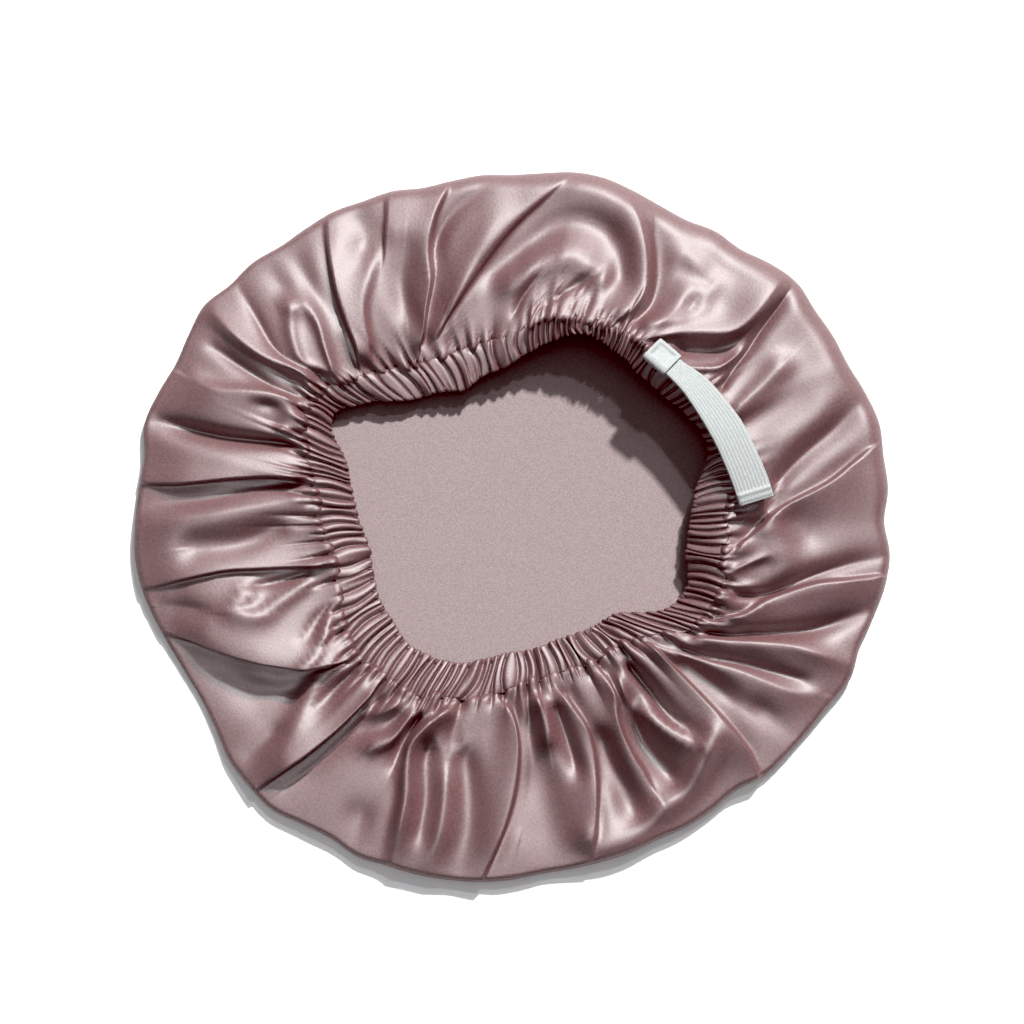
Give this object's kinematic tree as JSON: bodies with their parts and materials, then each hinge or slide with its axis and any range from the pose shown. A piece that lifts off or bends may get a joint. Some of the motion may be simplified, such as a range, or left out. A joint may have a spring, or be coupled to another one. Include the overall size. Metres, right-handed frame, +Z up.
{
  "type": "sleep bonnet",
  "caption": "Round satin sleep bonnet lying mouth up: a flat crown, a side layer folded in and gathered to a ruched elastic casing, and a free ribbed elastic strap. Covers the hair.",
  "frame": {"origin": "on the surface that the crown lies on, under the middle of the bonnet's bounding box", "axes": "+Z up out of the mouth, +X to the side that the strap leaves on, +Y away from the front"},
  "size_m": [0.3491, 0.3342, 0.0421],
  "materials": {
    "dusty_rose_satin": "glossy satin face with soft directional highlights, matte grainy wrong side",
    "pale_ribbed_elastic": "matte woven elastic with lengthwise ribs"
  },
  "bodies": {
    "root": {"satin_crown": "dusty_rose_satin", "satin_side": "dusty_rose_satin", "elastic_casing": "dusty_rose_satin", "elastic_strap": "pale_ribbed_elastic", "strap_keeper": "pale_ribbed_elastic"}
  },
  "joints": []
}
